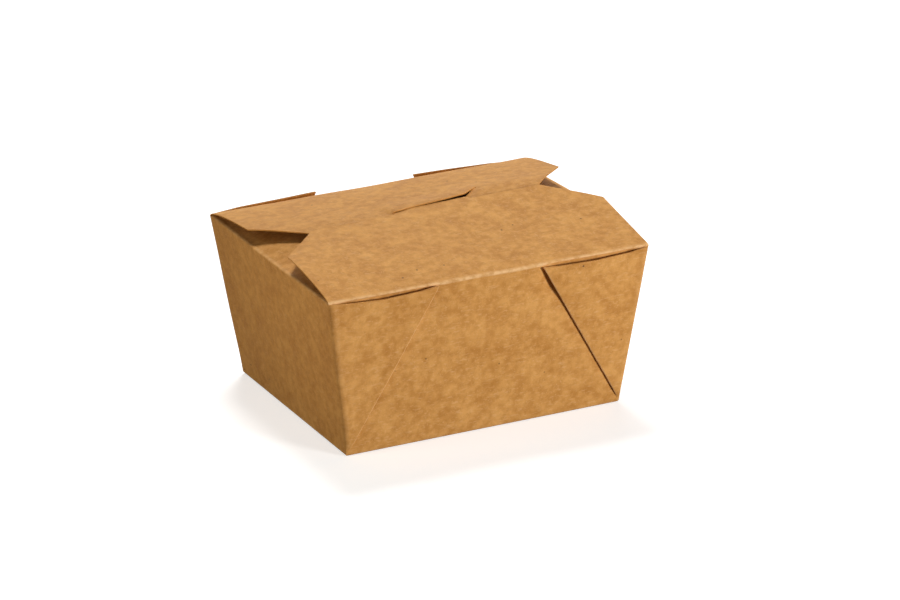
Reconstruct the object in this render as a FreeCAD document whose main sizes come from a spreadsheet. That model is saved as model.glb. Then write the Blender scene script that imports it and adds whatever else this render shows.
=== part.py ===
import FreeCAD, Part
import Sketcher
import os

# Folded kraft board takeaway box, in millimetres.
# +X runs along the long front wall, +Y from the front wall to the back wall, +Z up.
# The origin is the middle of the underside of the base.

SHEET = "Sizes"

driving = {
    # the folded tray, measured over the outside of the board
    "base_length": 113,
    "base_width": 93,
    "top_length": 131,
    "top_width": 107.2,
    "box_height": 64,
    "board": 0.45,
    # room left between two layers that touch in the real box
    "clearance": 0.3,
    # how far the back flap's fold runs down the back wall
    "fold_strip": 6,
    # the lid: two flaps that rise to a low ridge over the middle
    "lid_tilt": 9,
    "lid_bevel": 18,
    "tail_lap": 10,
    # the back flap rises steeply from its fold, then less, and is level over the middle
    "knee_run": 9,
    "knee_rise": 3.6,
    "level_run": 13,
    # the front flap's tab, which goes through the slit in the back flap
    "tab_left": 13,
    "tab_right": 18,
    "tab_lap": 3.3,
    "tab_depth": 5,
    "tab_root": 6,
    "slit_clearance": 0.5,
    "slit_run": 6,
    "slit_rise": 4,
    "slit_end": 0.5,
    # side flaps, folded in first
    "dust_reach": 34,
    "dust_bevel": 13,
    "dust_shoulder": 1.5,
    # web corners, folded double and glued outside the front and back walls
    "web_angle": 36.5,
    "web_layers": 2,
    "web_foot": 1,
    "web_gap_front": 2,
    "web_rise_back": 1.4,
}

# Places worked out from the sizes above
derived = {
    "hinge_y": "top_width / 2 - board / 2",
    "lid_slope": "tan(lid_tilt * 1 deg)",
    "ridge_z": "box_height + hinge_y * lid_slope",
    "layer_gap": "board + clearance",
    "wall_top": "box_height - board / 2 - clearance",
    "mouth_length": "base_length + (top_length - base_length) * wall_top / box_height",
    "mouth_width": "base_width + (top_width - base_width) * wall_top / box_height",
    "floor_length": "base_length + (top_length - base_length) * board / box_height",
    "floor_width": "base_width + (top_width - base_width) * board / box_height",
    "wall_lean": "(top_width - base_width) / 2 / box_height",
    "wall_slope_length": "sqrt(box_height ^ 2 + ((top_width - base_width) / 2) ^ 2)",
    "corner_lean": "(top_length - base_length) / 2 / wall_slope_length",
    "web_lean": "tan(web_angle * 1 deg - atan(corner_lean))",
    "back_ridge_z": "ridge_z - layer_gap",
    "knee_y": "hinge_y - knee_run",
    "knee_z": "box_height + knee_rise",
    "tail_z": "back_ridge_z - tail_lap * lid_slope",
    "tab_z": "ridge_z",
    "tab_swing": "(tab_z - box_height) / (tab_lap + hinge_y)",
    "slit_y": "tab_lap + layer_gap * tab_swing",
    "slit_front": "slit_y - board / 2 - slit_clearance",
    "slit_back": "slit_y + board / 2 + slit_clearance",
    "slit_left": "-tab_left - slit_clearance",
    "slit_right": "tab_right + slit_clearance",
}

CUT_MARGIN = "1"       # how far a cutting outline runs past the edge that it cuts

doc = FreeCAD.newDocument("TakeawayBox")


def fill_sheet(name, values, column_word):
    """One row per value: its name in column A, the value in column B under the same alias."""
    sheet = doc.addObject("Spreadsheet::Sheet", name)
    sheet.set("A1", column_word)
    for row, (alias, value) in enumerate(values.items(), start=2):
        sheet.set(f"A{row}", alias)
        sheet.set(f"B{row}", str(value))
        sheet.setAlias(f"B{row}", alias)
    doc.recompute()
    return sheet


def add_places(sheet, values):
    """The worked-out places follow the driving sizes in the same sheet, as formulas."""
    first = len(driving) + 3
    for row, (alias, formula) in enumerate(values.items(), start=first):
        sheet.set(f"A{row}", alias)
        sheet.set(f"B{row}", "=" + formula)
        sheet.setAlias(f"B{row}", alias)
    doc.recompute()


sizes = fill_sheet(SHEET, driving, "size")
add_places(sizes, derived)
ALIASES = sorted(list(driving) + list(derived), key=len, reverse=True)


def bound(formula):
    """The formula with every alias written as a reference to the sheet."""
    words = []
    word = ""
    for letter in formula + " ":
        if letter.isalnum() or letter == "_":
            word += letter
            continue
        words.append(f"{SHEET}.{word}" if word in ALIASES else word)
        words.append(letter)
        word = ""
    return "".join(words).strip()


def number(formula):
    value = sizes.evalExpression(bound(formula))
    return float(getattr(value, "Value", value))


def new_body(name):
    return doc.addObject("PartDesign::Body", name)


def origin_plane(body, role):
    return next(item for item in body.Origin.OriginFeatures if item.Role == role)


def outline(body, name, role, corners, arcs=None, sketch=None):
    """A closed outline. Corners are pairs of formulas; arcs maps a corner's number to the centre and radius
    of the quarter arc that starts there and runs to the next corner."""
    arcs = arcs or {}
    if sketch is None:
        sketch = body.newObject("Sketcher::SketchObject", name)
        sketch.AttachmentSupport = [(origin_plane(body, role), "")]
        sketch.MapMode = "FlatFace"
    first = sketch.GeometryCount
    points = [FreeCAD.Vector(number(x), number(y), 0) for x, y in corners]
    count = len(points)
    starts = []
    ends = []
    for i, point in enumerate(points):
        follower = points[(i + 1) % count]
        if i in arcs:
            centre = FreeCAD.Vector(number(arcs[i][0]), number(arcs[i][1]), 0)
            turn = (point - centre).cross(follower - centre).z
            low, high = (point, follower) if turn > 0 else (follower, point)
            circle = Part.Circle(centre, FreeCAD.Vector(0, 0, 1), number(arcs[i][2]))
            edge = Part.ArcOfCircle(circle, circle.parameter(low), circle.parameter(high))
            starts.append(1 if turn > 0 else 2)
            ends.append(2 if turn > 0 else 1)
        else:
            edge = Part.LineSegment(point, follower)
            starts.append(1)
            ends.append(2)
        sketch.addGeometry(edge, False)
    for i, (x, y) in enumerate(corners):
        here = first + i
        before = first + (i - 1) % count
        sketch.addConstraint(Sketcher.Constraint("Coincident", before, ends[(i - 1) % count], here, starts[i]))
        pin(sketch, "DistanceX", here, starts[i], x)
        pin(sketch, "DistanceY", here, starts[i], y)
        if i in arcs:
            index = sketch.addConstraint(Sketcher.Constraint("Radius", here, number(arcs[i][2])))
            sketch.setExpression(f"Constraints[{index}]", bound(arcs[i][2]))
    return sketch


def pin(sketch, kind, geometry, end, formula):
    index = sketch.addConstraint(Sketcher.Constraint(kind, -1, 1, geometry, end, number(formula)))
    sketch.setExpression(f"Constraints[{index}]", bound(formula))


def rectangle(body, name, length, width, height):
    """A rectangle about the Z axis, lying at a height."""
    x, y = f"({length}) / 2", f"({width}) / 2"
    corners = [(f"-{x}", f"-{y}"), (x, f"-{y}"), (x, y), (f"-{x}", y)]
    sketch = outline(body, name, "XY_Plane", corners)
    sketch.setExpression("AttachmentOffset.Base.z", bound(height))
    return sketch


def loft(body, kind, name, lower, upper):
    feature = body.newObject(kind, name)
    feature.Profile = lower
    feature.Sections = [upper]
    feature.Ruled = True
    doc.recompute()
    return feature


def pad(body, name, sketch, length, symmetric=False, backwards=False):
    feature = body.newObject("PartDesign::Pad", name)
    feature.Profile = sketch
    feature.setExpression("Length", bound(length))
    feature.Reversed = backwards
    if symmetric:
        feature.SideType = "Symmetric"
    doc.recompute()
    return feature


def pocket_down(body, name, sketch):
    """A cut that starts at the sketch, above the lid, and goes straight down to the wall tops."""
    before = body.Shape.Volume
    feature = body.newObject("PartDesign::Pocket", name)
    feature.Profile = sketch
    feature.setExpression("Length", bound("ridge_z - wall_top + board"))
    doc.recompute()
    if body.Shape.Volume >= before:
        raise RuntimeError(f"{name} cuts nothing")
    return feature


def above_the_lid(sketch):
    sketch.setExpression("AttachmentOffset.Base.z", bound("ridge_z + board"))


def build_tray():
    """Base and four leaning walls, with the side flaps and the web corners."""
    body = new_body("Tray")
    outer = loft(body, "PartDesign::AdditiveLoft", "outside",
                 rectangle(body, "base_outline", "base_length", "base_width", "0"),
                 rectangle(body, "mouth_outline", "mouth_length", "mouth_width", "wall_top"))
    solid = outer.Shape.Volume
    loft(body, "PartDesign::SubtractiveLoft", "inside",
         rectangle(body, "floor_outline", "floor_length - 2 * board", "floor_width - 2 * board", "board"),
         rectangle(body, "rim_outline", "mouth_length - 2 * board", "mouth_width - 2 * board", "wall_top"))
    if body.Shape.Volume >= solid:
        raise RuntimeError("the tray has no inside")
    add_side_flaps(body)
    add_webs(body, "front", "wall_slope_length - web_gap_front")
    add_webs(body, "back", "wall_slope_length + web_rise_back")
    return body


def add_side_flaps(body):
    """The left and right flaps, folded in level with the wall tops."""
    wall = "mouth_length / 2 - board / 2"
    half = "mouth_width / 2 - board - dust_shoulder"
    sketch = None
    for side in ("-", ""):
        sign = "-1 * " if side else ""
        corners = [
            (f"{sign}({wall})", f"-({half})"),
            (f"{sign}({wall} - dust_reach + dust_bevel)", f"-({half})"),
            (f"{sign}({wall} - dust_reach)", f"-({half} - dust_bevel)"),
            (f"{sign}({wall} - dust_reach)", f"{half} - dust_bevel"),
            (f"{sign}({wall} - dust_reach + dust_bevel)", half),
            (f"{sign}({wall})", half),
        ]
        sketch = outline(body, "side_flap_outlines", "XY_Plane", corners, sketch=sketch)
    sketch.setExpression("AttachmentOffset.Base.z", bound("wall_top - board"))
    return pad(body, "side_flaps", sketch, "board")


def add_webs(body, wall, top):
    """Both web corners of one long wall. Their outline lies in the middle of the wall's board,
    with its own x along the wall and its own y up the slope from the foot of the wall."""
    foot = "web_foot"
    sketch = None
    for sign in ("-1 * ", ""):
        corners = [
            (f"{sign}(base_length / 2 + ({foot}) * corner_lean)", foot),
            (f"{sign}(base_length / 2 + ({top}) * corner_lean)", top),
            (f"{sign}(base_length / 2 - ({top}) * web_lean)", top),
            (f"{sign}(base_length / 2 - ({foot}) * web_lean)", foot),
        ]
        sketch = outline(body, f"{wall}_web_outlines", "XZ_Plane", corners, sketch=sketch)
    outward = 1 if wall == "front" else -1
    lean = FreeCAD.Rotation(FreeCAD.Vector(outward, 0, 0), number("atan(wall_lean)"))
    sketch.AttachmentOffset = FreeCAD.Placement(FreeCAD.Vector(0, 0, 0), lean)
    sketch.setExpression("AttachmentOffset.Base.z", bound(f"{outward} * (base_width / 2 - board / 2)"))
    sketch.setExpression("AttachmentOffset.Rotation.Angle", bound("atan(wall_lean)"))
    return pad(body, f"{wall}_webs", sketch, "board / 2 + web_layers * board", backwards=outward < 0)


def build_back_lid():
    """The back lid flap with its fold on the back wall, its tail under the front flap, and its slit."""
    body = new_body("BackLid")
    inner = "hinge_y - board / 2"
    outer = "hinge_y + board / 2"
    corners = [
        ("hinge_y", "box_height + board / 2"),
        (outer, "box_height"),
        (f"{outer} - fold_strip * wall_lean", "box_height - fold_strip"),
        (f"{inner} - fold_strip * wall_lean", "box_height - fold_strip"),
        (inner, "box_height - board / 2"),
        ("knee_y", "knee_z - board / 2"),
        ("level_run", "back_ridge_z - board / 2"),
        ("0", "back_ridge_z - board / 2"),
        ("-tail_lap", "tail_z - board / 2"),
        ("-tail_lap", "tail_z + board / 2"),
        ("0", "back_ridge_z + board / 2"),
        ("level_run", "back_ridge_z + board / 2"),
        ("knee_y", "knee_z + board / 2"),
    ]
    fold = {0: ("hinge_y", "box_height", "board / 2")}
    section = outline(body, "back_lid_section", "YZ_Plane", corners, fold)
    pad(body, "back_lid_panel", section, "top_length", symmetric=True)
    corner_cuts = None
    for sign in ("-1 * ", ""):
        far = f"{sign}(top_length / 2 + {CUT_MARGIN})"
        triangle = [
            (far, f"lid_bevel + {CUT_MARGIN}"),
            (f"{sign}(top_length / 2 - lid_bevel - tail_lap - {CUT_MARGIN})", f"-tail_lap - {CUT_MARGIN}"),
            (far, f"-tail_lap - {CUT_MARGIN}"),
        ]
        corner_cuts = outline(body, "back_lid_corners", "XY_Plane", triangle, sketch=corner_cuts)
    above_the_lid(corner_cuts)
    pocket_down(body, "back_lid_bevels", corner_cuts)
    tip = "slit_right + slit_run"
    slit_corners = [
        ("slit_left", "clearance"),
        ("slit_left + slit_end", "clearance"),
        ("slit_left + slit_end", "slit_front"),
        ("slit_right", "slit_front"),
        (tip, "slit_back + slit_rise - slit_end"),
        (tip, "slit_back + slit_rise"),
        ("slit_right", "slit_back"),
        ("slit_left", "slit_back"),
    ]
    slit = outline(body, "slit_outline", "XY_Plane", slit_corners)
    above_the_lid(slit)
    pocket_down(body, "slit", slit)
    return body


def build_front_flap():
    """The front lid flap, round at its fold, with the tab that goes down through the slit."""
    body = new_body("front_flap")
    corners = [
        ("-hinge_y", "box_height + board / 2"),
        ("-hinge_y - board / 2", "box_height"),
        ("-hinge_y", "box_height - board / 2"),
        ("0", "ridge_z - board / 2"),
        ("0", "ridge_z + board / 2"),
    ]
    fold = ("-hinge_y", "box_height", "board / 2")
    section = outline(body, "front_flap_section", "YZ_Plane", corners, {0: fold, 1: fold})
    pad(body, "front_flap_panel", section, "top_length", symmetric=True)
    corner_cuts = None
    for sign in ("-1 * ", ""):
        far = f"{sign}(top_length / 2 + {CUT_MARGIN})"
        triangle = [
            (far, f"-lid_bevel - {CUT_MARGIN}"),
            (f"{sign}(top_length / 2 - lid_bevel - {CUT_MARGIN})", CUT_MARGIN),
            (far, CUT_MARGIN),
        ]
        corner_cuts = outline(body, "front_flap_corners", "XY_Plane", triangle, sketch=corner_cuts)
    above_the_lid(corner_cuts)
    pocket_down(body, "front_flap_bevels", corner_cuts)
    root_z = "ridge_z - tab_root * lid_slope"
    tip_y = "tab_lap + tab_depth * tab_swing"
    tab_corners = [
        ("-tab_root", f"{root_z} - board / 2"),
        ("0", "ridge_z - board / 2"),
        ("tab_lap - board / 2", "tab_z - board / 2"),
        (f"{tip_y} - board / 2", "tab_z - tab_depth"),
        (f"{tip_y} + board / 2", "tab_z - tab_depth"),
        ("tab_lap + board / 2", "tab_z"),
        ("tab_lap", "tab_z + board / 2"),
        ("0", "ridge_z + board / 2"),
        ("-tab_root", f"{root_z} + board / 2"),
    ]
    bend = {5: ("tab_lap", "tab_z", "board / 2")}
    tab_section = outline(body, "tab_section", "YZ_Plane", tab_corners, bend)
    tab_section.setExpression("AttachmentOffset.Base.z", bound("-tab_left"))
    pad(body, "tab", tab_section, "tab_left + tab_right")
    return body


def check_features():
    for item in doc.Objects:
        if "Invalid" in item.State or "Error" in item.State:
            raise RuntimeError(f"{item.Label} failed: {item.State}")


def write_node(item):
    shape = item.Shape
    if shape.isNull() or not shape.isValid():
        raise RuntimeError(f"{item.Label} has no valid shape")
    if len(shape.Solids) != 1:
        raise RuntimeError(f"{item.Label} is {len(shape.Solids)} solids instead of one")
    shape.exportStep(f"parts/{item.Label}.step")
    box = shape.BoundBox
    print(f"{item.Label}: volume {shape.Volume:.2f} mm3, x {box.XMin:.2f} to {box.XMax:.2f}, "
          f"y {box.YMin:.2f} to {box.YMax:.2f}, z {box.ZMin:.2f} to {box.ZMax:.2f}")


tray = build_tray()
back_lid = build_back_lid()
front_flap = build_front_flap()

carton = doc.addObject("Part::MultiFuse", "Carton")
carton.Shapes = [tray, back_lid]
carton.Refine = True
carton.Label = "carton"
doc.recompute()

check_features()
os.makedirs("parts", exist_ok=True)
for node in (carton, front_flap):
    write_node(node)
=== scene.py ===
import bpy
import numpy as np
from bpy.props import FloatProperty, FloatVectorProperty, PointerProperty
from mathutils import Matrix, Vector


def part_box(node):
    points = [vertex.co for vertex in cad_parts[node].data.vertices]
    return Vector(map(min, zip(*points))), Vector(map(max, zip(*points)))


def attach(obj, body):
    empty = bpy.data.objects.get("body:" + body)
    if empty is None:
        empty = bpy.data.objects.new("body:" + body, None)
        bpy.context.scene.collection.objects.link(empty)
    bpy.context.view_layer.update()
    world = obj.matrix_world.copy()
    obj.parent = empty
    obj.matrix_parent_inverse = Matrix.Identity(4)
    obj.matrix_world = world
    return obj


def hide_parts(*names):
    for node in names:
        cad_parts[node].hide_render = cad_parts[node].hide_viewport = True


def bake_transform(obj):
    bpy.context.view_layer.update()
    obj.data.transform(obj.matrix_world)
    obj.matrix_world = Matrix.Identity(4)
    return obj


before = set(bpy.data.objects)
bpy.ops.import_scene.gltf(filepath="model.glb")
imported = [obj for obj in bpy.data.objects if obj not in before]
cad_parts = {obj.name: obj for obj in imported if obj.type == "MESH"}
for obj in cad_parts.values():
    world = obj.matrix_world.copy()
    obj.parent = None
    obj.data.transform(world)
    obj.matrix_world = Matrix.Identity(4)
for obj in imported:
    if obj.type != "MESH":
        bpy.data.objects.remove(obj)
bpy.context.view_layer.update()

bl_info = {
    "name": "Takeaway Box",
    "version": (1, 0, 0),
    "blender": (4, 5, 0),
    "location": "View3D > Sidebar > Takeaway Box",
    "description": "Folded kraft board takeaway box with webbed corners and a tabbed lid",
    "category": "Add Mesh",
}

MM = 0.001
FLAP_LOW, FLAP_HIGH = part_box("front_flap")

# Places on the lid and the tab, in millimetres from the box's middle.
RIDGE_BACK = 13.0
RIDGE_FRONT = -1.0
BACK_LID_EDGE = -10.0
TAB_LEFT = -13.0
TAB_RIGHT = 18.0
TAB_RUN = 3.4
TAB_BEND = 1.2

# Small distances of the folded board, in millimetres.
FOOT_HEIGHT = 1.3
CREASE_DROP = 1.0
CORNER_ROUND = 1.7
LAYER_GAP = 0.05
NOSE_GAP = 0.12
WALL_END_INSET = 0.35
LID_END_INSET = 0.3
LID_LAYER_GAP = 0.17
WALL_RECESS = 1.3
SIDE_FLAP_CORNER = 13.0
SIDE_FLAP_SPRING = 2.0
SIDE_FLAP_DOME = 1.9
SIDE_FLAP_RUN = 10

# How far the board is bent and waved all over, in millimetres.
LONG_WALL_BOW = 0.35
SIDE_WALL_BOW = 0.3
RIGHT_FOLD_PUSH = 1.8
RIGHT_FOLD_RAISE = 0.9
BASE_RAISE = 0.4
LID_WAVE = 0.07
WALL_WAVE = 0.05

# How worn and how lit the folds are: wear lightens every fold, and on the front fold and the web noses the
# lightening is also a painted highlight.
# Painted highlight along the rounded front fold, added to its wear.
FRONT_FOLD_WEAR_AND_HIGHLIGHT = 2.8
# Painted highlight on the folded edges of the web noses, added to their wear.
NOSE_WEAR_AND_HIGHLIGHT = 2.2
WALL_END_WEAR = 0.5
CORNER_WEAR = 0.25
FOOT_WEAR = 0.4

# The slit in the back lid: its plan, and how far its back edge stands above the front
# flap and its front edge sinks below it, in millimetres.
SLIT = np.array(
    [
        (-13.4, 2.2),
        (-11.0, 2.2),
        (-6.0, 2.3),
        (4.0, 2.4),
        (10.0, 2.6),
        (14.0, 3.1),
        (18.0, 3.8),
        (21.4, 6.4),
        (25.8, 9.8),
    ]
)
LIP = np.array([0.0, 0.25, 0.5, 0.72, 0.85, 0.9, 0.8, 0.6, 0.0])
SINK = np.array([0.0, -0.62, -0.65, -0.7, -0.8, -0.85, -0.7, -0.1, 0.0])

# The camera: turn, rise and roll in degrees, its distance and aim in metres, and its lens.
CAMERA_TURN = -25.734
CAMERA_RISE = 21.13
CAMERA_ROLL = -0.847
CAMERA_AWAY = 1.7018
CAMERA_AIM = (0.0, 0.0, 0.032)
CAMERA_LENS = 180.54
CAMERA_SHIFT = (0.0245, 0.0097)

# Each lamp's name, place, size, power and colour.
LAMP_AIM = (0.0, 0.0, 0.04)
LAMPS = (
    ("overhead", (0.13, 0.45, 1.07), 0.3, 8.7, (1.0, 1.0, 1.0)),
    ("behind", (0.40, 0.85, 0.44), 0.4, 2.3, (1.0, 1.0, 1.0)),
    ("front", (0.48, -0.95, 0.20), 0.25, 9.9, (1.0, 1.0, 1.0)),
    ("left", (-0.26, -0.04, 0.085), 0.08, 0.17, (1.0, 0.95, 0.78)),
)
FLOOR_REACH = 3.0


class BoxSizes(bpy.types.PropertyGroup):
    """Sizes of the folded box, in metres."""

    board: FloatProperty(
        name="Board", description="Thickness of the board", default=0.00045, unit="LENGTH"
    )
    base_length: FloatProperty(
        name="Base length", description="Length of the base", default=0.113, unit="LENGTH"
    )
    base_width: FloatProperty(
        name="Base width", description="Width of the base", default=0.093, unit="LENGTH"
    )
    top_length: FloatProperty(
        name="Top length",
        description="Length over the walls at the lid folds",
        default=round(FLAP_HIGH[0] - FLAP_LOW[0], 5),
        unit="LENGTH",
    )
    top_width: FloatProperty(
        name="Top width",
        description="Width over the walls at the lid folds",
        default=0.1072,
        unit="LENGTH",
    )
    height: FloatProperty(
        name="Height", description="Height of the lid folds", default=0.064, unit="LENGTH"
    )
    web_reach: FloatProperty(
        name="Web reach",
        description="Length of a web corner along the top of the wall",
        default=0.0439,
        unit="LENGTH",
    )
    dust_reach: FloatProperty(
        name="Side flap", description="Depth of the side flaps", default=0.034, unit="LENGTH"
    )
    lid_bevel: FloatProperty(
        name="Lid bevel", description="Cut corners of the lid flaps", default=0.018, unit="LENGTH"
    )
    tab_depth: FloatProperty(
        name="Tab depth", description="Length of the tab below the slit", default=0.005, unit="LENGTH"
    )


class BoxFinish(bpy.types.PropertyGroup):
    """Colours of the kraft board."""

    kraft: FloatVectorProperty(
        name="Kraft",
        description="Main colour of the board",
        subtype="COLOR",
        size=3,
        min=0.0,
        max=1.0,
        default=(0.70, 0.353, 0.102),
    )
    # Also the colour that the inner side and the cut edges are darkened towards, partly as painted shade.
    kraft_dark: FloatVectorProperty(
        name="Dark blotches",
        description="Colour of the darker blotches",
        subtype="COLOR",
        size=3,
        min=0.0,
        max=1.0,
        default=(0.465, 0.197, 0.038),
    )
    # Also the colour of the painted highlight on the front fold and the web noses.
    kraft_light: FloatVectorProperty(
        name="Light fibres",
        description="Colour of light fibres and worn folds",
        subtype="COLOR",
        size=3,
        min=0.0,
        max=1.0,
        default=(0.82, 0.50, 0.23),
    )
    fleck: FloatVectorProperty(
        name="Flecks",
        description="Colour of the small dark flecks",
        subtype="COLOR",
        size=3,
        min=0.0,
        max=1.0,
        default=(0.10, 0.042, 0.014),
    )


def smooth(x):
    """Smooth step of x: 3 x squared less 2 x cubed, with x held between 0 and 1."""
    x = np.clip(x, 0.0, 1.0)
    return x * x * (3.0 - 2.0 * x)


def bend(a, h, b, n):
    """A rounded fold from a to b: n+1 points of a quadratic curve whose middle point is the sharp fold h."""
    q = np.linspace(0.0, 1.0, n + 1)[:, None]
    return (1 - q) ** 2 * np.array(a) + 2 * q * (1 - q) * np.array(h) + q**2 * np.array(b)


def spans(marks, step):
    """Numbers that go through every mark in order, with equal parts of about step between two marks."""
    parts = []
    for low, high in zip(marks[:-1], marks[1:]):
        n = max(1, int(round(abs(high - low) / step)))
        parts.append(np.linspace(low, high, n + 1)[:-1])
    return np.append(np.concatenate(parts), marks[-1])


class BoxShape:
    """The box's own measures in millimetres and its surfaces as functions of place."""

    # The front lid's rise per millimetre at its left end, what its right end has more, and its bow.
    front_rise = 0.111
    front_twist = 0.087
    front_bow = 2.2

    # The same for the back lid, with the height and the run of its step over the fold.
    back_rise = 0.084
    back_twist = 0.044
    back_lift = 2.3
    back_lift_twist = 1.6
    back_run = 7

    def __init__(self, s):
        self.t = s.board / MM
        self.base_l = s.base_length / MM / 2
        self.base_w = s.base_width / MM / 2
        self.top_l = s.top_length / MM / 2
        self.top_w = s.top_width / MM / 2
        self.h = s.height / MM
        self.web = s.web_reach / MM
        self.dust = s.dust_reach / MM
        self.bevel = round(s.lid_bevel / MM, 3)
        self.back_bevel = self.bevel + 0.1
        self.tab = s.tab_depth / MM
        self.z_foot = FOOT_HEIGHT
        self.z_crease = self.h - CREASE_DROP
        self.hinge = self.top_w - self.t / 2
        self.lid_end = self.top_l - LID_END_INSET

    def length_at(self, z):
        """Half of the length of the wall's middle at height z: a straight line from base to top."""
        return self.base_l + (self.top_l - self.base_l) * z / self.h - self.t / 2

    def width_at(self, z):
        """Half of the width of the wall's middle at height z: a straight line from base to top."""
        return self.base_w + (self.top_w - self.base_w) * z / self.h - self.t / 2

    def open_at(self, z):
        """How far the web's layers have opened above the foot: a smooth step over 5 mm."""
        return smooth((z - self.z_foot) / 5.0)

    def wall_end(self, z):
        """Half of the length of the front or back wall, which ends inside the corner's outer layer."""
        return self.length_at(z) - self.open_at(z) * (self.t + WALL_END_INSET)

    def along(self, x):
        """Place along the lid: 0 at the left end and 1 at the right end."""
        return (x + self.top_l) / (2 * self.top_l)

    def front_lid_top(self, x, y):
        """Height of the front lid flap's upper side.

        It rises from the fold by a short exponential step and then in a straight slope, and
        the slope grows from the left end to the right end. The left end bows up between its
        fold and its free edge by half a sine wave.
        """
        r = y + self.hinge
        f = self.along(x)
        step = (0.47 - 0.12 * f) * (1 - np.exp(-np.maximum(r, 0) / 2))
        bow = self.front_bow * (1 - f) ** 2 * np.sin(np.pi * np.clip(r / self.hinge, 0, 1))
        return self.h + step + (self.front_rise + self.front_twist * f) * r + bow

    def front_lid_slope(self, x):
        """Rise of the front lid flap per millimetre at its free edge."""
        f = self.along(x)
        return self.front_rise + self.front_twist * f - self.front_bow * np.pi / self.hinge * (1 - f) ** 2

    def back_lid_far(self, x, y):
        """Height and slope of the back lid's upper side behind the ridge.

        It rises from the fold by an exponential step and a straight slope, and both grow from
        the left end to the right end.
        """
        r = np.maximum(self.hinge - y, 0)
        f = self.along(x)
        lift = self.back_lift + self.back_lift_twist * f
        rise = self.back_rise + self.back_twist * f
        z = self.h + lift * (1 - np.exp(-r / self.back_run)) + rise * r
        return z, -(rise + lift * np.exp(-r / self.back_run) / self.back_run)

    def under_front(self, x, y):
        """Height of the back lid's upper side where it lies under the front flap or its tab."""
        return self.front_lid_top(x, np.minimum(y, 0.0)) - self.t - LID_LAYER_GAP

    def back_lid_top(self, x, y):
        """Height of the back lid's upper side.

        It follows back_lid_far behind the ridge and lies under the front flap in front of the
        ridge, and a cubic with both slopes joins them. A bell-shaped swell stands on the right
        half just behind the ridge.
        """
        y1, y0 = RIDGE_BACK, RIDGE_FRONT
        far, _ = self.back_lid_far(x, y)
        z1, m1 = self.back_lid_far(x, np.full_like(y, y1))
        z0 = self.under_front(x, np.full_like(y, y0))
        m0 = self.front_lid_slope(x)
        q = np.clip((y1 - y) / (y1 - y0), 0, 1)
        span = y1 - y0
        swell = smooth((x - 6) / 24) * (1 - 0.8 * smooth((x - 38) / 16))
        swell = swell * np.exp(-(((y - 10) / 9) ** 2)) * smooth((y + 1) / 9)
        join = (
            (2 * q**3 - 3 * q**2 + 1) * z1
            + (q**3 - 2 * q**2 + q) * (-m1 * span)
            + (3 * q**2 - 2 * q**3) * z0
            + (q**3 - q**2) * (-m0 * span)
        )
        return np.where(y > y1, far, np.where(y < y0, self.under_front(x, y), join)) + swell

    def lid_half(self, y, end):
        """Half of a lid flap's length at y: full as far as end, then shorter by as much as y goes on."""
        return self.lid_end - np.maximum(0.0, end - y)

    def back_half(self, y):
        """Half of the back lid flap's length at y, with its cut corners."""
        return self.lid_half(y, self.back_bevel)

    def recess(self, x, z):
        """How far the front wall's top stands back behind the webs: smooth steps along and up the wall."""
        along = smooth((np.abs(x) - 19) / 8) * (1 - smooth((np.abs(x) - 57) / 6))
        return WALL_RECESS * along * smooth((z - 46) / 12)

    def dish(self, p):
        """Small bends of the whole box, the same for all layers.

        The walls bow out by half sine waves, the right side fold is pushed out and up, the
        base is raised, and sums of sines make the board slightly wavy.
        """
        x, y, z = p[:, 0], p[:, 1], p[:, 2]
        side = smooth((np.abs(y) - 38) / 8) * np.sin(np.pi * np.clip(z / self.h, 0, 1))
        out = p.copy()
        out[:, 1] += np.sign(y) * side * LONG_WALL_BOW * (1 - (x / 66) ** 2)
        end = smooth((np.abs(x) - 46) / 8) * np.sin(np.pi * np.clip(z / self.h, 0, 1))
        out[:, 0] += np.sign(x) * end * SIDE_WALL_BOW * (1 - (y / 55) ** 2)
        push = smooth((x - 54) / 10) * smooth((z - 25) / 38) * smooth((64.9 - z) / 0.8) * (1 - (y / 54) ** 2)
        out[:, 0] += RIGHT_FOLD_PUSH * push
        out[:, 2] += RIGHT_FOLD_RAISE * push * smooth((z - 55) / 8)
        low = smooth((3.0 - z) / 3.0)
        out[:, 2] += low * BASE_RAISE * np.clip(1 - (x / 55) ** 2, 0, 1) * np.clip(1 - (y / 45) ** 2, 0, 1)
        level = smooth((z - 3) / 10)
        wave = np.sin(x * 0.13 + y * 0.071 + 0.7) + 0.7 * np.sin(y * 0.151 - x * 0.049 + 2.1)
        wave += 0.5 * np.sin(x * 0.21 + z * 0.11 + y * 0.09)
        out[:, 2] += level * smooth((z - 60) / 4) * LID_WAVE * wave
        out[:, 1] += level * smooth((np.abs(y) - 38) / 8) * WALL_WAVE * np.sin(x * 0.17 + z * 0.13 + 1.0)
        out[:, 0] += level * smooth((np.abs(x) - 46) / 8) * WALL_WAVE * np.sin(y * 0.15 + z * 0.12 + 0.4)
        return out


def patch_faces(rows, cols, flip=False):
    """The quads of a grid of rows by cols points, as an array of four indices each."""
    k = np.arange(rows * cols).reshape(rows, cols)
    quads = np.stack([k[:-1, :-1], k[:-1, 1:], k[1:, 1:], k[1:, :-1]], -1).reshape(-1, 4)
    return quads[:, ::-1] if flip else quads


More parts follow.
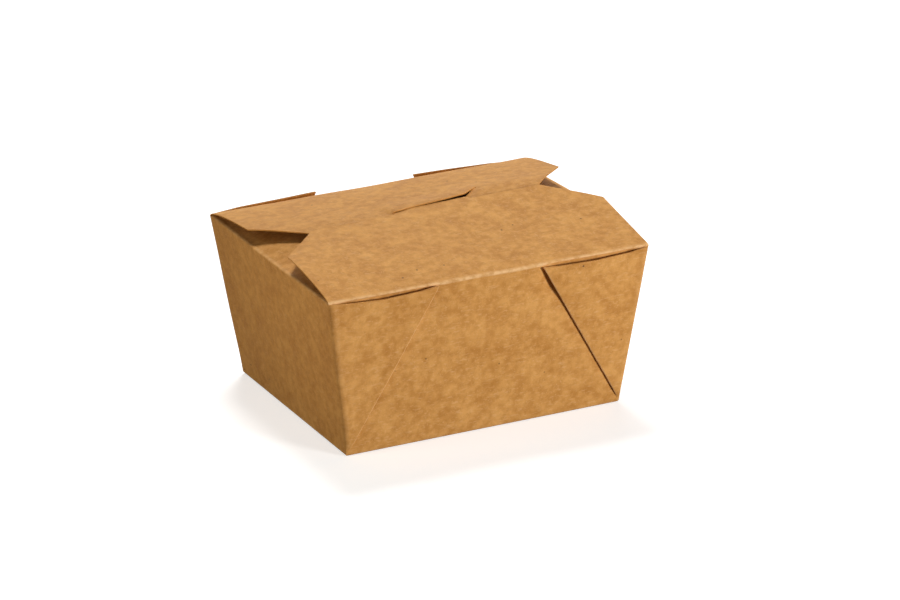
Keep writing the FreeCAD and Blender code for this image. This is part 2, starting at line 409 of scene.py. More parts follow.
def weld(patches):
    """Joins patches, given as (points grid, grid of fold wear and painted highlight, flip), where their
    points meet.

    Points within a hundredth of a millimetre become one. Quads that lose a corner become
    triangles, and those that lose more are left out.
    """
    points, wears, quads, start = [], [], [], 0
    for grid, wear, flip in patches:
        rows, cols = grid.shape[:2]
        points.append(grid.reshape(-1, 3))
        wears.append(np.broadcast_to(wear, (rows, cols)).reshape(-1))
        quads.append(patch_faces(rows, cols, flip) + start)
        start += rows * cols
    points = np.concatenate(points)
    wears = np.concatenate(wears)
    quads = np.concatenate(quads)
    _, first, index = np.unique(
        np.round(points * 100).astype(np.int64), axis=0, return_index=True, return_inverse=True
    )
    quads = index.reshape(-1)[quads]
    wear = np.zeros(len(first))
    # Fold wear and painted highlight, the largest value where points are joined.
    np.maximum.at(wear, index.reshape(-1), wears)
    same = quads == np.roll(quads, -1, axis=1)
    across = (quads[:, 0] == quads[:, 2]) | (quads[:, 1] == quads[:, 3])
    count = same.sum(1)
    whole = quads[(count == 0) & ~across]
    part = quads[(count == 1) & ~across]
    drop = np.argmax(same[(count == 1) & ~across], axis=1)
    keep = (drop[:, None] + 1 + np.arange(3)) % 4
    tris = np.take_along_axis(part, keep, axis=1)
    return points[first], wear, whole, tris


def face_normals(points, faces):
    """Each face's normal times twice its area: the cross product of its two diagonals, or of two sides."""
    if faces.shape[1] == 4:
        return np.cross(
            points[faces[:, 2]] - points[faces[:, 0]], points[faces[:, 3]] - points[faces[:, 1]]
        )
    return np.cross(
        points[faces[:, 1]] - points[faces[:, 0]], points[faces[:, 2]] - points[faces[:, 0]]
    )


def thicken(points, quads, tris, thickness):
    """Gives a middle surface its thickness.

    Every point goes half of the thickness to both sides along the mean normal of its faces,
    a little further at sharp folds, and every open edge gets a cut face.
    """
    normal = np.zeros_like(points)
    for faces in (quads, tris):
        n = face_normals(points, faces)
        for c in range(faces.shape[1]):
            np.add.at(normal, faces[:, c], n)
    normal /= np.maximum(np.linalg.norm(normal, axis=1, keepdims=True), 1e-12)
    agree = np.zeros(len(points))
    times = np.zeros(len(points))
    for faces in (quads, tris):
        n = face_normals(points, faces)
        n /= np.maximum(np.linalg.norm(n, axis=1, keepdims=True), 1e-12)
        for c in range(faces.shape[1]):
            np.add.at(agree, faces[:, c], (n * normal[faces[:, c]]).sum(1))
            np.add.at(times, faces[:, c], 1.0)
    agree /= np.maximum(times, 1)
    reach = (thickness / 2 / np.clip(agree, 0.75, 1.0))[:, None]
    n = len(points)
    both = np.concatenate([points + normal * reach, points - normal * reach])
    both[:, 2] = np.maximum(both[:, 2], 0.0)
    edges = np.concatenate(
        [np.stack([f, np.roll(f, -1, axis=1)], -1).reshape(-1, 2) for f in (quads, tris)]
    )
    code = edges[:, 0] * n + edges[:, 1]
    back = edges[:, 1] * n + edges[:, 0]
    rim = edges[~np.isin(code, back)]
    rims = np.stack([rim[:, 1], rim[:, 0], rim[:, 0] + n, rim[:, 1] + n], -1)
    faces4 = np.concatenate([quads, quads[:, ::-1] + n, rims])
    faces3 = np.concatenate([tris, tris[:, ::-1] + n])
    cut = np.zeros(len(faces4) + len(faces3))
    cut[2 * len(quads) : len(faces4)] = 1.0
    inner = np.zeros(len(faces4) + len(faces3))
    inner[len(quads) : 2 * len(quads)] = 1.0
    inner[len(faces4) + len(tris) :] = 1.0
    return both, faces4, faces3, cut, inner


def board_object(name, patches, shape, material):
    """Makes one piece of board from its patches: welded, bent by the dish and thickened, in metres."""
    points, wear, quads, tris = weld(patches)
    points = shape.dish(points)
    both, faces4, faces3, cut, inner = thicken(points, quads, tris, shape.t)
    mesh = bpy.data.meshes.new(name)
    mesh.from_pydata((both * MM).tolist(), [], faces4.tolist() + faces3.tolist())
    mesh.polygons.foreach_set("use_smooth", np.ones(len(mesh.polygons), dtype=bool))
    # Lightening of the folds per point: wear, and a painted highlight on the front fold and the web noses.
    worn_and_lit = mesh.attributes.new("fold_wear_and_highlight", "FLOAT", "POINT")
    worn_and_lit.data.foreach_set("value", np.concatenate([wear, wear]).astype(np.float32))
    for label, values in (("cut_edge", cut), ("inner_side", inner)):
        mark = mesh.attributes.new(label, "FLOAT", "FACE")
        mark.data.foreach_set("value", values.astype(np.float32))
    mesh.set_sharp_from_angle(angle=np.radians(42))
    mesh.materials.append(material)
    mesh.update()
    obj = bpy.data.objects.new(name, mesh)
    bpy.context.scene.collection.objects.link(obj)
    return obj


def foot_profile(shape, n=6):
    """Half-lengths, half-widths and heights of the rounded fold from base to wall.

    It has n+1 points of a quadratic curve whose middle point is the sharp fold.
    """
    z0, z1 = shape.t / 2, shape.z_foot
    q = np.linspace(0, 1, n + 1)
    start, middle, end = (1 - q) ** 2, 2 * q * (1 - q), q**2
    fold_run = 1.1
    hx = start * (shape.length_at(0) - fold_run) + middle * shape.length_at(z0) + end * shape.length_at(z1)
    hy = start * (shape.width_at(0) - fold_run) + middle * shape.width_at(z0) + end * shape.width_at(z1)
    hz = start * z0 + middle * z0 + end * z1
    return hx, hy, hz


def wall_rows(shape):
    """Heights of the rows of every wall, close together near the foot."""
    return np.append(spans([shape.z_foot, 7.0], 0.8)[:-1], spans([7.0, shape.z_crease], 1.7))


def side_samples():
    """Places along a side wall from -1 to 1, shared by base, side walls and side flaps."""
    return spans([-1.0, -0.97, 0.97, 1.0], 0.04)


def strip_columns(shape):
    """Places across the long strip from -1 to 1, with one at each turn of the slit."""
    marks = SLIT[:, 0] / shape.back_half(SLIT[:, 1])
    inner = spans(list(marks), 0.022)
    left = spans([-1.0, -0.985, marks[0]], 0.033)
    right = spans([marks[-1], 0.985, 1.0], 0.033)
    return np.concatenate([left[:-1], inner, right[1:]])


def strip_patches(shape):
    """The strip that runs up the front wall, under the base, up the back wall and over as the back lid.

    It is a profile of heights and depths carried across the box's length, and each row is as
    long as the wall, base or lid is there. The lid's rows part at the slit.
    """
    u = strip_columns(shape)
    zs = wall_rows(shape)
    hx, hy, hz = foot_profile(shape)
    v = side_samples()
    rows_y, rows_z, rows_l, wear = [], [], [], []

    def add(y, z, half, w):
        rows_y.append(np.broadcast_to(y, np.shape(half)))
        rows_z.append(np.broadcast_to(z, np.shape(half)))
        rows_l.append(half)
        wear.append(np.broadcast_to(w, np.shape(half)))

    add(-shape.width_at(zs[::-1]), zs[::-1], shape.wall_end(zs[::-1]), 0.0)
    add(-hy[::-1][1:], hz[::-1][1:], hx[::-1][1:], FOOT_WEAR)
    add(v[1:] * hy[0], hz[0], np.full(len(v) - 1, hx[0]), 0.0)
    add(hy[1:], hz[1:], hx[1:], FOOT_WEAR)
    add(shape.width_at(zs[1:]), zs[1:], shape.wall_end(zs[1:]), 0.0)
    y = np.concatenate(rows_y)
    z = np.concatenate(rows_z)
    half = np.concatenate(rows_l)
    w = np.concatenate(wear)
    x_all = np.outer(half, u)
    z_all = np.repeat(z[:, None], len(u), 1)
    y_all = np.repeat(y[:, None], len(u), 1)
    y_all = y_all + np.where(y_all < 0, shape.recess(x_all, z_all), 0.0)
    grid = np.stack([x_all, y_all, z_all], -1)

    zc = shape.z_crease
    ring = np.linspace(0, 1, 8)
    y_a, y_b = shape.width_at(zc), shape.hinge - 1.6
    half_c = shape.wall_end(zc) + (shape.lid_end - shape.wall_end(zc)) * smooth(ring * 1.2)
    x_c = np.outer(half_c, u)
    z_b = shape.back_lid_top(x_c[-1], np.full(len(u), y_b)) - shape.t / 2
    corner_z = shape.h + 0.25
    q = ring[:, None]
    crease_y = (1 - q) ** 2 * y_a + 2 * q * (1 - q) * (shape.hinge + 0.05) + q**2 * y_b + 0 * x_c
    crease_z = (1 - q) ** 2 * zc + 2 * q * (1 - q) * corner_z + q**2 * z_b
    crease = np.stack([x_c, crease_y, crease_z], -1)

    bevel = shape.back_bevel
    slit_u = SLIT[:, 0] / shape.back_half(SLIT[:, 1])
    y_slit = np.interp(u, slit_u, SLIT[:, 1])
    x_slit = u * shape.back_half(y_slit)
    edge_z = shape.front_lid_top(x_slit, 0 * x_slit)
    flat_z = shape.back_lid_top(x_slit, y_slit)
    within = (u > slit_u[0] + 1e-6) & (u < slit_u[-1] - 1e-6)
    lip = np.where(within, edge_z + np.interp(u, slit_u, LIP) - flat_z, 0.0)
    sink = np.where(within, edge_z + np.interp(u, slit_u, SINK) - flat_z, 0.0)
    back = spans([y_b, 40.0, bevel], 2.0)
    near = np.linspace(0, 1, 14)[1:]
    y_lid = np.concatenate([np.repeat(back[:, None], len(u), 1), bevel + near[:, None] * (y_slit - bevel)])
    x_lid = u * shape.back_half(y_lid)
    raise_by = smooth((bevel - y_lid) / (bevel - y_slit)) * lip
    z_lid = shape.back_lid_top(x_lid, y_lid) + raise_by - shape.t / 2
    lid = np.stack([x_lid, y_lid, z_lid], -1)

    ahead = np.linspace(0, 1, 12)
    y_front = y_slit + ahead[:, None] * (BACK_LID_EDGE - y_slit)
    x_front = u * shape.back_half(y_front)
    lower = smooth((y_front + 3.0) / (y_slit + 3.0)) * sink
    z_front = shape.back_lid_top(x_front, y_front) + lower - shape.t / 2
    front = np.stack([x_front, y_front, z_front], -1)
    return [
        (grid, w[:, None], True),
        (crease, np.sin(np.pi * ring)[:, None], True),
        (lid, 0.0, True),
        (front, 0.0, True),
    ]


def web_path(shape, z, gap_in, gap_out, reach_in, columns):
    """Plan of one web corner at the heights z, as distances from the box's middle.

    From the wall's end the board turns back outside the wall, runs in to the slanting nose,
    turns back over itself, runs out to the corner and turns into the side wall. All turns are
    arcs, and each column has its own place along this path.
    """
    t = shape.t
    o = shape.open_at(z)
    xc = shape.length_at(z)
    y0 = shape.width_at(z)
    width = reach_in * shape.web * np.clip((z - shape.z_foot) / (shape.h - shape.z_foot), 0, None)
    r1 = o * (t + LAYER_GAP) / 2
    r2 = o * (t + gap_out) / 2
    big = o * CORNER_ROUND
    x1 = shape.wall_end(z)
    xn = xc - width + r2
    stand = o * gap_in
    kind, s = columns
    angle = np.pi * s
    fold1_x = x1 + r1 * np.sin(angle)
    fold1_y = y0 + r1 - r1 * np.cos(angle)
    lift = smooth(s * 1.4)
    inner_x = x1 + s * (xn - x1)
    inner_y = y0 + 2 * r1 + stand * lift
    nose_x = xn - r2 * np.sin(angle)
    nose_y = y0 + 2 * r1 + stand + r2 - r2 * np.cos(angle)
    outer_x = xn + s * (xc - big - xn)
    outer_y = y0 + 2 * r1 + stand * smooth((1 - s) * 1.4) + 2 * r2
    turn = 0.5 * np.pi * s
    end_y = y0 + 2 * r1 + 2 * r2
    turn_x = xc - big + big * np.sin(turn)
    turn_y = end_y - big + big * np.cos(turn)
    x = np.choose(kind, [fold1_x, inner_x, nose_x, outer_x, turn_x])
    y = np.choose(kind, [fold1_y, inner_y, nose_y, outer_y, turn_y])
    return x, y


def web_columns():
    """The columns of a web corner: which of the path's five parts each is on, and how far along it."""
    counts = [6, 22, 6, 22, 8]
    kind = np.concatenate([np.full(n, i) for i, n in enumerate(counts)])
    s = np.concatenate([np.arange(n) / n for n in counts])
    return kind, s


def side_band(shape, side):
    """One end of the box: web corner, side wall and web corner as one band, and the side flap.

    side is -1 for the left end and 1 for the right end. The band's top follows the cut edges
    of the webs, which dip below the front fold and stand above the back fold. The flap springs
    up from its fold by an exponential step, which is higher in the flap's middle.
    """
    kind, s = web_columns()
    v = side_samples()
    zs = wall_rows(shape)
    zc = shape.z_crease
    along = np.choose(kind, [0 * s, s, 0 * s + 1, 1 - s, 0 * s])
    dip_at = [0.0, 0.15, 0.5, 0.85, 1.0]
    if side < 0:
        dip = np.interp(along, dip_at, [0.5, 1.2, 1.9, 1.4, 0.7])
        gap_in = 0.35
        reach_in = 1.0
    else:
        dip = np.interp(along, dip_at, [0.6, 1.5, 2.0, 1.7, 1.1])
        gap_in = 0.6
        reach_in = 1.02
    root = np.choose(kind, [1 - smooth(s), 0 * s, 0 * s, 0 * s, 0 * s])
    top_front = shape.h - dip - root * (shape.h - 0.35 - zc)
    stand_up = np.interp(along, [0.0, 0.25, 1.0], [-0.35, 0.45, 1.15])
    top_back = shape.h + stand_up - root * (shape.h - 0.35 - zc)
    grow = smooth((zs - shape.z_foot) / (zc - shape.z_foot))[:, None]

    def corner(top, sign, gap, wide):
        z = zs[:, None] + (top - zc) * grow
        lean = (np.clip(z / shape.h, 0, 1.05)) ** 2
        x, y = web_path(shape, z, gap * lean, NOSE_GAP, wide, (kind, s))
        return np.stack([side * x, sign * y, z], -1)

    front = corner(top_front, -1, gap_in, reach_in)
    back = corner(top_back, 1, 0.25, 1.0)[:, ::-1]
    z_wall = np.repeat(zs[:, None], len(v), 1)
    o = shape.open_at(z_wall)
    reach = shape.width_at(z_wall) + o * (shape.t + LAYER_GAP) + o * (shape.t + NOSE_GAP) - o * CORNER_ROUND
    wall = np.stack([side * shape.length_at(z_wall), v * reach, z_wall], -1)
    band = np.concatenate([front, wall, back], axis=1)

    hx, hy, hz = foot_profile(shape)
    n_web = len(s)
    y_rel = np.concatenate([-np.ones(n_web), v, np.ones(n_web)])
    foot = np.stack(
        [
            side * np.repeat(hx[:, None], len(y_rel), 1),
            np.outer(hy, y_rel),
            np.repeat(hz[:, None], len(y_rel), 1),
        ],
        -1,
    )

    x0, x1 = shape.length_at(zc), shape.length_at(shape.h) - 1.5
    path = bend((x0, zc), (shape.length_at(shape.h) - 0.05, shape.h - 0.28), (x1, shape.h - 0.33), 7)
    reach_top = reach[-1, 0]
    hw = reach_top + (shape.top_w - 1.3 - reach_top) * smooth(np.linspace(0, 1, 8) * 1.5)
    flap_fold = np.stack(
        [side * np.repeat(path[:, :1], len(v), 1), np.outer(hw, v), np.repeat(path[:, 1:], len(v), 1)], -1
    )
    x_end = shape.top_l - shape.dust
    corner_x = x1 - SIDE_FLAP_CORNER
    xs = spans([x1, corner_x, x_end], 1.9)
    cut = np.clip((x1 - xs) / (x1 - corner_x), 0, 1) * SIDE_FLAP_CORNER
    half = hw[-1] - cut
    flap_y = np.outer(half, v)
    spring = SIDE_FLAP_SPRING + SIDE_FLAP_DOME * np.clip(1 - (flap_y / 36) ** 2, 0, 1)
    level = path[-1, 1] + spring * (1 - np.exp(-(x1 - xs) / SIDE_FLAP_RUN))[:, None]
    flap = np.stack([side * np.repeat(xs[:, None], len(v), 1), flap_y, level], -1)
    # Fold lightening of the web columns: wear, and on the nose also a painted highlight.
    worn_and_lit = np.array([WALL_END_WEAR, 0, NOSE_WEAR_AND_HIGHLIGHT, 0, CORNER_WEAR])[kind]
    wear = np.concatenate([worn_and_lit, np.zeros(len(v)), worn_and_lit[::-1]])[None, :] * np.ones((len(zs), 1))
    flip = side < 0
    return [
        (band, wear, flip),
        (foot, FOOT_WEAR, flip),
        (flap_fold, np.sin(np.linspace(0, np.pi, 8))[:, None], flip),
        (flap, 0.0, flip),
    ]


def front_flap_patches(shape):
    """The front lid flap: a rounded fold from the front wall's top, the panel with cut corners, and the tab.

    The fold is a cubic Bezier curve. The panel is a grid of rows away from the fold. The tab
    goes on from the panel's free edge, nearly level, and bends down through the slit in a
    quarter circle.
    """
    zc = shape.z_crease
    edge_half = shape.lid_half(0.0, shape.bevel)
    marks = [-1.0, -0.985, TAB_LEFT / edge_half, TAB_RIGHT / edge_half, 0.985, 1.0]
    u = spans(marks, 0.03)
    y_b = -shape.hinge + 1.3
    ring = np.linspace(0, 1, 11)
    start_half = shape.wall_end(zc)
    half_c = start_half + (shape.top_l - 0.1 - start_half) * smooth(ring * 2.0)
    half_c = half_c - 0.2 * smooth(ring * 2.0 - 1.0)
    x_c = np.outer(half_c, u)
    q = ring[:, None]
    back = shape.recess(x_c[0], zc)
    y_a = -shape.width_at(zc) + back
    y_p = -shape.hinge - 0.5 - 0.75 * back
    z_b = shape.front_lid_top(x_c[-1], np.full(len(u), y_b)) - shape.t / 2
    w0, w1, w2, w3 = (1 - q) ** 3, 3 * q * (1 - q) ** 2, 3 * q**2 * (1 - q), q**3
    crease_y = w0 * y_a + w1 * y_a + w2 * y_p + w3 * y_b
    crease_z = w0 * zc + w1 * (zc + 0.5) + w2 * (shape.h - 0.3) + w3 * z_b
    crease = np.stack([x_c, crease_y, crease_z], -1)
    y_edge = np.interp(u * edge_half, [-edge_half, TAB_LEFT, TAB_RIGHT, edge_half], [0.6, 0.0, 0.0, -1.0])
    rows = (spans([y_b, -shape.bevel, 0.0], 2.0) - y_b) / (0 - y_b)
    stops = rows[:, None]
    row_y = y_b + stops * (0 - y_b)
    y = row_y + smooth((stops - 0.7) / 0.3) * y_edge
    x = u * shape.lid_half(-row_y, shape.bevel)
    z = shape.front_lid_top(x, y) - shape.t / 2
    panel = np.stack([x, y, z], -1)
    inside = (u >= TAB_LEFT / edge_half - 1e-9) & (u <= TAB_RIGHT / edge_half + 1e-9)
    x_t = u[inside] * edge_half
    z_t = shape.front_lid_top(x_t, 0 * x_t) - shape.t / 2
    flat = np.linspace(0, TAB_RUN - TAB_BEND, 3)[1:]
    turn = np.linspace(0, 1, 6)[1:] * np.pi / 2
    straight = np.linspace(0, shape.tab - TAB_BEND, 5)[1:]
    tab_y = np.concatenate([[0.0], flat, TAB_RUN - TAB_BEND + TAB_BEND * np.sin(turn), np.full(4, TAB_RUN)])
    drop = np.concatenate([[0.0], 0 * flat, TAB_BEND - TAB_BEND * np.cos(turn), TAB_BEND + straight])
    narrow = np.clip((drop - 1.5) / (shape.tab - 1.5), 0, 1)[:, None]
    mid = (TAB_LEFT + TAB_RIGHT) / 2
    x_tab = mid + (x_t - mid) * (1 - 0.16 * narrow**1.5)
    y_tab = tab_y[:, None] + 0 * x_tab
    droop = 0.15 * smooth((x_t - 4) / 10) * np.clip(y_tab / TAB_RUN, 0, 1)
    droop = droop + 0.4 * smooth((-5 - x_t) / 6) * smooth(y_tab / 1.6)
    z_tab = z_t - drop[:, None] - droop
    tab = np.stack([x_tab, y_tab, z_tab], -1)
    return [
        # The rounded front fold: wear and a painted highlight, strongest along its middle.
        (crease, FRONT_FOLD_WEAR_AND_HIGHLIGHT * np.sin(np.pi * ring)[:, None], False),
        (panel, 0.0, False),
        (tab, 0.0, False),
    ]


def kraft_group():
    """Node group: the board's colour, roughness and height.

    Blotches and clouds of noise mix the two main colours. Fibres, grain, rare flecks, folds
    lightened by wear and painted highlight, the inner side darkened as a guessed coating and as
    painted shade, and the cut edges darkened as raw edges and as painted shade are mixed over
    them in this order.
    """
    group = bpy.data.node_groups.new("kraft_board_surface", "ShaderNodeTree")
    face = group.interface
    face.new_socket("Vector", in_out="INPUT", socket_type="NodeSocketVector")
    for name in ("Kraft", "Dark blotches", "Light fibres", "Flecks"):
        face.new_socket(name, in_out="INPUT", socket_type="NodeSocketColor")
    for name in ("Fold wear and highlight", "Cut edge", "Inner side"):
        face.new_socket(name, in_out="INPUT", socket_type="NodeSocketFloat")
    face.new_socket("Colour", in_out="OUTPUT", socket_type="NodeSocketColor")
    for name in ("Roughness", "Height"):
        face.new_socket(name, in_out="OUTPUT", socket_type="NodeSocketFloat")
    nodes, links = group.nodes, group.links
    enter = nodes.new("NodeGroupInput")
    leave = nodes.new("NodeGroupOutput")

    def noise(scale, detail, rough, stretch=None):
        n = nodes.new("ShaderNodeTexNoise")
        n.inputs["Scale"].default_value = scale
        n.inputs["Detail"].default_value = detail
        n.inputs["Roughness"].default_value = rough
        if stretch:
            m = nodes.new("ShaderNodeMapping")
            m.inputs["Scale"].default_value = stretch
            links.new(enter.outputs["Vector"], m.inputs["Vector"])
            links.new(m.outputs["Vector"], n.inputs["Vector"])
        else:
            links.new(enter.outputs["Vector"], n.inputs["Vector"])
        return n.outputs["Fac"]

    def ramp(value, low, high, out_low=0.0, out_high=1.0):
        r = nodes.new("ShaderNodeMapRange")
        r.inputs["From Min"].default_value = low
        r.inputs["From Max"].default_value = high
        r.inputs["To Min"].default_value = out_low
        r.inputs["To Max"].default_value = out_high
        links.new(value, r.inputs["Value"])
        return r.outputs["Result"]

    def math_node(kind, a, b):
        m = nodes.new("ShaderNodeMath")
        m.operation = kind
        for socket, value in zip(m.inputs, (a, b)):
            if isinstance(value, float):
                socket.default_value = value
            else:
                links.new(value, socket)
        return m.outputs[0]

    def mix(fac, a, b):
        m = nodes.new("ShaderNodeMix")
        m.data_type = "RGBA"
        links.new(fac, m.inputs["Factor"])
        links.new(a, m.inputs["A"])
        links.new(b, m.inputs["B"])
        return m.outputs["Result"]

    blotch = ramp(noise(300.0, 4.0, 0.6), 0.38, 0.63)
    cloud = ramp(noise(85.0, 2.0, 0.5), 0.34, 0.66)
    both = math_node("ADD", math_node("MULTIPLY", blotch, 0.6), math_node("MULTIPLY", cloud, 0.4))
    colour = mix(both, enter.outputs["Dark blotches"], enter.outputs["Kraft"])
    fibre_a = ramp(noise(1500.0, 2.0, 0.6, (0.25, 1.0, 1.0)), 0.56, 0.74)
    fibre_b = ramp(noise(1500.0, 2.0, 0.6, (1.0, 0.3, 0.9)), 0.58, 0.76)
    fibres = math_node("MULTIPLY", math_node("MAXIMUM", fibre_a, fibre_b), 0.4)
    colour = mix(fibres, colour, enter.outputs["Light fibres"])
    grain = ramp(noise(1900.0, 2.0, 0.6), 0.58, 0.76, 0.0, 0.5)
    colour = mix(grain, colour, enter.outputs["Dark blotches"])
    spot = nodes.new("ShaderNodeTexVoronoi")
    spot.inputs["Scale"].default_value = 160.0
    links.new(enter.outputs["Vector"], spot.inputs["Vector"])
    pick = nodes.new("ShaderNodeSeparateColor")
    links.new(spot.outputs["Color"], pick.inputs["Color"])
    rare = ramp(pick.outputs["Red"], 0.68, 0.69)
    near = ramp(spot.outputs["Distance"], 0.04, 0.08, 1.0, 0.0)
    fleck = math_node("MULTIPLY", rare, near)
    colour = mix(fleck, colour, enter.outputs["Flecks"])
    # Folds lightened towards the light fibre colour: wear, and a painted highlight on the front fold and the
    # web noses.
    break_up = ramp(noise(420.0, 3.0, 0.6), 0.35, 0.6, 0.25, 1.0)
    worn_and_lit = math_node("MULTIPLY", math_node("MULTIPLY", enter.outputs["Fold wear and highlight"], break_up), 0.45)
    colour = mix(worn_and_lit, colour, enter.outputs["Light fibres"])
    # The inner side goes towards the dark blotch colour: a guessed coating, and painted shade inside the box
    # and under the lids.
    coating_and_shade = math_node("MULTIPLY", enter.outputs["Inner side"], 0.9)
    colour = mix(coating_and_shade, colour, enter.outputs["Dark blotches"])
    # Cut edges go towards the dark blotch colour: partly the raw edge's own tone, partly painted shade on
    # the thin web edges.
    edge_tone_and_shade = math_node("MULTIPLY", enter.outputs["Cut edge"], 0.6)
    colour = mix(edge_tone_and_shade, colour, enter.outputs["Dark blotches"])
    links.new(colour, leave.inputs["Colour"])
    links.new(ramp(both, 0.0, 1.0, 0.74, 0.86), leave.inputs["Roughness"])
    fine = math_node("MULTIPLY", noise(1100.0, 3.0, 0.65), 0.6)
    links.new(math_node("ADD", fine, math_node("MULTIPLY", blotch, 0.4)), leave.inputs["Height"])
    return group


def kraft_material(finish):
    """Kraft board: the kraft group's colour, roughness and height on a Principled shader."""
    material = bpy.data.materials.new("kraft_board_finish")
    material.use_nodes = True
    nodes, links = material.node_tree.nodes, material.node_tree.links
    shader = nodes["Principled BSDF"]
    group = nodes.new("ShaderNodeGroup")
    group.node_tree = kraft_group()
    place = nodes.new("ShaderNodeTexCoord")
    links.new(place.outputs["Object"], group.inputs["Vector"])
    group.inputs["Kraft"].default_value = (*finish.kraft, 1.0)
    group.inputs["Dark blotches"].default_value = (*finish.kraft_dark, 1.0)
    group.inputs["Light fibres"].default_value = (*finish.kraft_light, 1.0)
    group.inputs["Flecks"].default_value = (*finish.fleck, 1.0)
    # The fold attribute lightens the folds for wear and for a painted highlight.
    reads = (("fold_wear_and_highlight", "Fold wear and highlight"), ("cut_edge", "Cut edge"), ("inner_side", "Inner side"))
    for attribute, socket in reads:
        read = nodes.new("ShaderNodeAttribute")
        read.attribute_name = attribute
        links.new(read.outputs["Fac"], group.inputs[socket])
    bump = nodes.new("ShaderNodeBump")
    bump.inputs["Strength"].default_value = 0.35
    bump.inputs["Distance"].default_value = 0.00012
    links.new(group.outputs["Colour"], shader.inputs["Base Color"])
    links.new(group.outputs["Roughness"], shader.inputs["Roughness"])
    links.new(group.outputs["Height"], bump.inputs["Height"])
    links.new(bump.outputs["Normal"], shader.inputs["Normal"])
    shader.inputs["Specular IOR Level"].default_value = 0.2
    return material


def shared_material():
    """The kraft material, made once and shared by both pieces."""
    found = bpy.data.materials.get("kraft_board_finish")
    if found is None:
        found = kraft_material(bpy.context.scene.takeaway_box_finish)
    return found


class FoldCarton(bpy.types.Operator):
    """Folds the carton: base, four walls, web corners, side flaps and the slotted back lid"""

    bl_idname = "takeaway_box.fold_carton"
    bl_label = "Carton"

    def execute(self, context):
        shape = BoxShape(context.scene.takeaway_box_sizes)
        patches = strip_patches(shape) + side_band(shape, -1) + side_band(shape, 1)
        piece = board_object("carton_board", patches, shape, shared_material())
        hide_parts("carton")
        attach(piece, "carton")
        return {"FINISHED"}


class FoldFrontFlap(bpy.types.Operator):
    """Folds the front lid flap with its tab over the back lid"""

    bl_idname = "takeaway_box.fold_front_flap"
    bl_label = "Front lid flap"

    def execute(self, context):
        shape = BoxShape(context.scene.takeaway_box_sizes)
        piece = board_object("front_flap_board", front_flap_patches(shape), shape, shared_material())
        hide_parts("front_flap")
        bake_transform(piece)
        return {"FINISHED"}


def place_camera():
    """Puts the camera on a sphere round its aim, by turn and rise, and rolls it about its own axis."""
    az, el, roll = np.radians([CAMERA_TURN, CAMERA_RISE, CAMERA_ROLL])
    back = np.array([np.sin(az) * np.cos(el), -np.cos(az) * np.cos(el), np.sin(el)])
    right = np.cross(-back, (0.0, 0.0, 1.0))
    right /= np.linalg.norm(right)
    up = np.cross(back, right)
    right, up = right * np.cos(roll) + up * np.sin(roll), up * np.cos(roll) - right * np.sin(roll)
    data = bpy.data.cameras.new("camera")
    data.sensor_width = 36.0
    data.lens = CAMERA_LENS
    data.shift_x, data.shift_y = CAMERA_SHIFT
    data.clip_end = 20.0
    camera = bpy.data.objects.new("camera", data)
    spot = np.array(CAMERA_AIM) + back * CAMERA_AWAY
    matrix = np.eye(4)
    matrix[:3, 0], matrix[:3, 1], matrix[:3, 2], matrix[:3, 3] = right, up, back, spot
    camera.matrix_world = Matrix(matrix.tolist())
    bpy.context.scene.collection.objects.link(camera)
    bpy.context.scene.camera = camera


def area_lamp(name, spot, size, power, colour):
    """A square soft lamp at spot that looks at the box."""
    data = bpy.data.lights.new(name, "AREA")
    data.shape = "SQUARE"
    data.size = size
    data.energy = power
    data.color = colour
    lamp = bpy.data.objects.new(name, data)
    lamp.location = spot
    lamp.rotation_euler = (Vector(LAMP_AIM) - Vector(spot)).to_track_quat("-Z", "Y").to_euler()
    bpy.context.scene.collection.objects.link(lamp)


def floor_material():
    """Pale floor: white with the box's shadow where it is seen, and dark in the light that it gives back."""
    material = bpy.data.materials.new("pale_floor")
    material.use_nodes = True
    nodes, links = material.node_tree.nodes, material.node_tree.links
    plain = nodes["Principled BSDF"]
    plain.inputs["Base Color"].default_value = (0.09, 0.06, 0.03, 1.0)
    plain.inputs["Roughness"].default_value = 0.9
    white = nodes.new("ShaderNodeBsdfDiffuse")
    white.inputs["Color"].default_value = (0.75, 0.75, 0.75, 1.0)
    glow = nodes.new("ShaderNodeEmission")
    glow.inputs["Strength"].default_value = 0.62
    both = nodes.new("ShaderNodeAddShader")
    links.new(white.outputs[0], both.inputs[0])
    links.new(glow.outputs[0], both.inputs[1])
    pick = nodes.new("ShaderNodeMixShader")
    links.new(seen_directly(nodes, links), pick.inputs["Fac"])
    links.new(plain.outputs[0], pick.inputs[1])
    links.new(both.outputs[0], pick.inputs[2])
    links.new(pick.outputs[0], nodes["Material Output"].inputs["Surface"])
    return material


def seen_directly(nodes, links):
    """1 for the camera, for reflections and through glass, and 0 for the light that the stage gives off."""
    path = nodes.new("ShaderNodeLightPath")
    value = path.outputs["Is Camera Ray"]
    for name in ("Is Glossy Ray", "Is Transmission Ray"):
        larger = nodes.new("ShaderNodeMath")
        larger.operation = "MAXIMUM"
        links.new(value, larger.inputs[0])
        links.new(path.outputs[name], larger.inputs[1])
        value = larger.outputs[0]
    return value


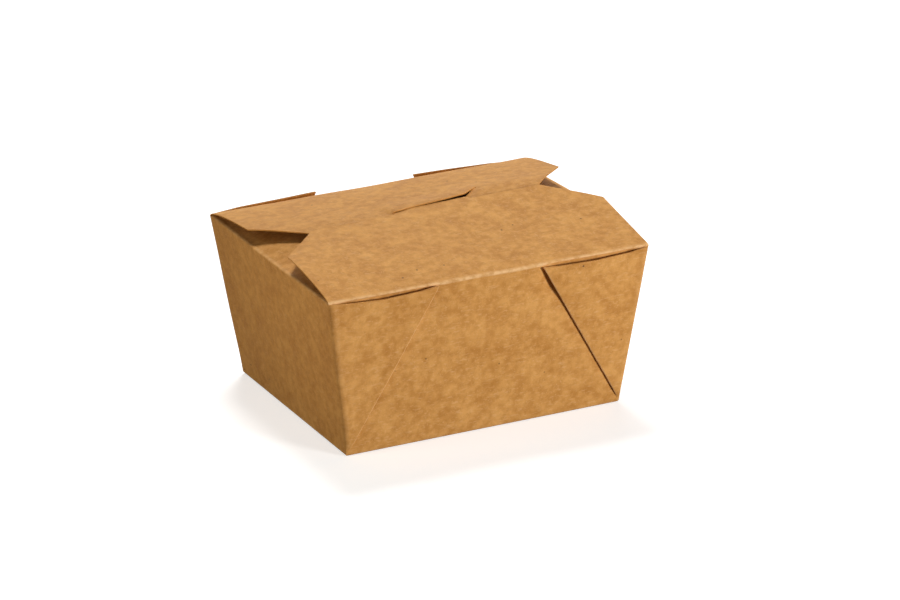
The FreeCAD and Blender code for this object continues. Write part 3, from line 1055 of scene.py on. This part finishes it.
def white_world():
    """White background for the camera and for reflections, and a plain soft light for the rest."""
    world = bpy.data.worlds.new("studio")
    world.use_nodes = True
    nodes, links = world.node_tree.nodes, world.node_tree.links
    sky = nodes["Background"]
    sky.inputs["Color"].default_value = (1.0, 1.0, 1.0, 1.0)
    sky.inputs["Strength"].default_value = 0.07
    clear = nodes.new("ShaderNodeBackground")
    clear.inputs["Color"].default_value = (1.0, 1.0, 1.0, 1.0)
    clear.inputs["Strength"].default_value = 1.0
    blend = nodes.new("ShaderNodeMixShader")
    links.new(seen_directly(nodes, links), blend.inputs["Fac"])
    links.new(sky.outputs[0], blend.inputs[1])
    links.new(clear.outputs[0], blend.inputs[2])
    links.new(blend.outputs[0], nodes["World Output"].inputs["Surface"])
    bpy.context.scene.world = world


class SetStage(bpy.types.Operator):
    """Sets the pale floor, the soft lamps, the white background and the camera"""

    bl_idname = "takeaway_box.set_stage"
    bl_label = "Stage"

    def execute(self, context):
        side = np.array([-FLOOR_REACH, FLOOR_REACH])
        x, y = np.meshgrid(side, side)
        points = np.stack([x, y, np.zeros_like(x)], -1).reshape(-1, 3)
        mesh = bpy.data.meshes.new("floor")
        mesh.from_pydata(points.tolist(), [], [(0, 1, 3, 2)])
        mesh.materials.append(floor_material())
        floor = bpy.data.objects.new("floor", mesh)
        context.scene.collection.objects.link(floor)
        white_world()
        for lamp in LAMPS:
            area_lamp(*lamp)
        context.scene.view_settings.view_transform = "Standard"
        place_camera()
        return {"FINISHED"}


class BoxPanel(bpy.types.Panel):
    """Lists the box's pieces, its sizes and its colours"""

    bl_idname = "VIEW3D_PT_takeaway_box"
    bl_label = "Takeaway Box"
    bl_space_type = "VIEW_3D"
    bl_region_type = "UI"
    bl_category = "Takeaway Box"

    def draw(self, context):
        layout = self.layout
        for operator in PIECES:
            layout.operator(operator.bl_idname)
        for group in (context.scene.takeaway_box_sizes, context.scene.takeaway_box_finish):
            column = layout.column(align=True)
            for name in type(group).__annotations__:
                column.prop(group, name)


PIECES = (FoldCarton, FoldFrontFlap, SetStage)
CLASSES = (BoxSizes, BoxFinish, *PIECES, BoxPanel)


def register():
    for cls in CLASSES:
        bpy.utils.register_class(cls)
    bpy.types.Scene.takeaway_box_sizes = PointerProperty(type=BoxSizes)
    bpy.types.Scene.takeaway_box_finish = PointerProperty(type=BoxFinish)


def unregister():
    del bpy.types.Scene.takeaway_box_finish
    del bpy.types.Scene.takeaway_box_sizes
    for cls in reversed(CLASSES):
        bpy.utils.unregister_class(cls)


def main():
    register()
    bpy.ops.takeaway_box.set_stage()
    bpy.ops.takeaway_box.fold_carton()
    bpy.ops.takeaway_box.fold_front_flap()


if __name__ == "__main__":
    main()
